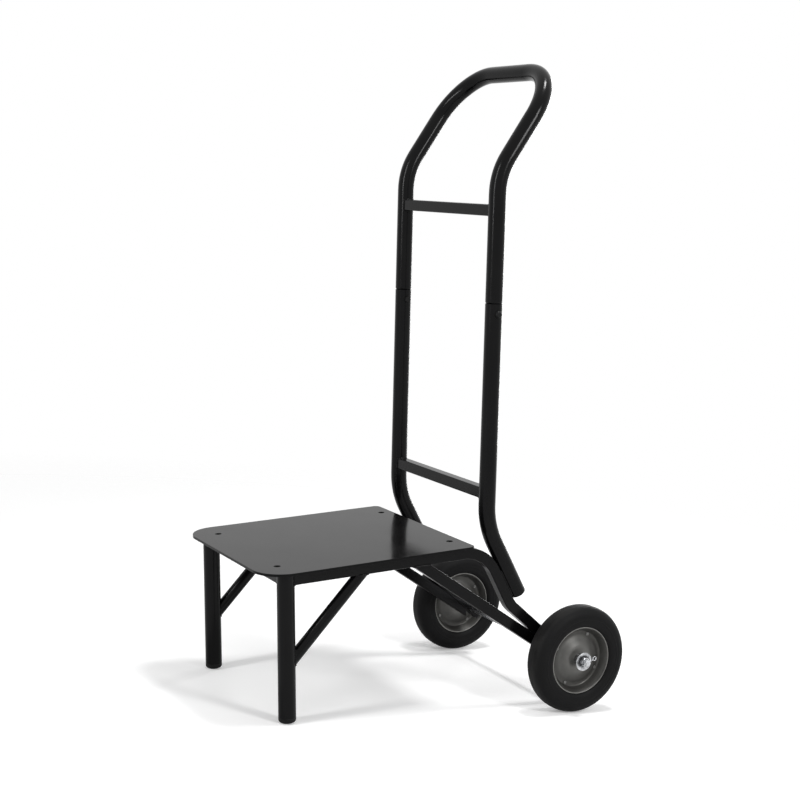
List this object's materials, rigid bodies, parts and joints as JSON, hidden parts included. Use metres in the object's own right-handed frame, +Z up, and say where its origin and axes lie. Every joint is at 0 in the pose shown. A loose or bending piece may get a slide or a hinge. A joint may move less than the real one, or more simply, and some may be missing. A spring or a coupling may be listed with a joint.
{
  "type": "chair trolley",
  "caption": "Wheeled trolley for a stack of chairs: a flat load plate on a welded tube frame with front legs, braced rails down to the axle, crossbars and a tall bent loop handle.",
  "frame": {"origin": "centre of the base on the floor, below the middle of the bounding box", "axes": "+Z up along the handle, -Y toward the load plate's front edge, +X toward the right wheel"},
  "size_m": [0.4998, 0.7455, 1.1857],
  "materials": {
    "frame_coat": "satin black powder coat on steel tube",
    "plate_coat": "satin black powder coat on steel sheet",
    "black_screw": "black coated steel fastener",
    "black_plastic": "matte black moulded plastic",
    "tyre_rubber": "matte black rubber",
    "rim_enamel": "warm grey enamel on pressed steel",
    "rim_rivet": "warm grey enamel over the rivet heads",
    "zinc_steel": "bright zinc plate",
    "bush_plastic": "dark self-lubricating plastic"
  },
  "bodies": {
    "frame": {"load_plate": "plate_coat", "screw_front_left": "black_screw", "screw_front_right": "black_screw", "screw_rear_left": "black_screw", "screw_rear_right": "black_screw", "left_side_rail": "frame_coat", "right_side_rail": "frame_coat", "front_cross_rail": "frame_coat", "rear_cross_rail": "frame_coat", "left_front_leg": "frame_coat", "right_front_leg": "frame_coat", "left_leg_foot": "black_plastic", "right_leg_foot": "black_plastic", "left_leg_brace": "frame_coat", "right_leg_brace": "frame_coat", "left_rear_strut": "frame_coat", "right_rear_strut": "frame_coat", "left_lower_upright": "frame_coat", "right_lower_upright": "frame_coat", "left_upright_weld": "frame_coat", "right_upright_weld": "frame_coat", "left_upright_plug": "black_plastic", "right_upright_plug": "black_plastic", "left_rail_plug": "black_plastic", "right_rail_plug": "black_plastic", "lower_crossbar": "frame_coat", "upper_crossbar": "frame_coat", "handle": "frame_coat", "left_joint_bolt": "black_screw", "right_joint_bolt": "black_screw", "left_joint_nut": "black_screw", "right_joint_nut": "black_screw", "axle": "zinc_steel", "left_spacer": "zinc_steel", "right_spacer": "zinc_steel", "left_washer": "zinc_steel", "right_washer": "zinc_steel", "left_axle_nut": "zinc_steel", "right_axle_nut": "zinc_steel", "left_split_pin": "zinc_steel", "right_split_pin": "zinc_steel"},
    "left_wheel": {"left_tyre": "tyre_rubber", "left_rim_outer": "rim_enamel", "left_rim_inner": "rim_enamel", "left_rim_rivets": "rim_rivet", "left_hub": "zinc_steel", "left_bush_outer": "bush_plastic", "left_bush_inner": "bush_plastic"},
    "right_wheel": {"right_tyre": "tyre_rubber", "right_rim_outer": "rim_enamel", "right_rim_inner": "rim_enamel", "right_rim_rivets": "rim_rivet", "right_hub": "zinc_steel", "right_bush_outer": "bush_plastic", "right_bush_inner": "bush_plastic"}
  },
  "joints": [
    {"name": "left_wheel_spin", "type": "hinge", "parent": "frame", "child": "left_wheel", "pos_m": [-0.2105, 0.27117, 0.1016], "axis": [1, 0, 0], "continuous": true},
    {"name": "right_wheel_spin", "type": "hinge", "parent": "frame", "child": "right_wheel", "pos_m": [0.2105, 0.27117, 0.1016], "axis": [1, 0, 0], "continuous": true}
  ]
}
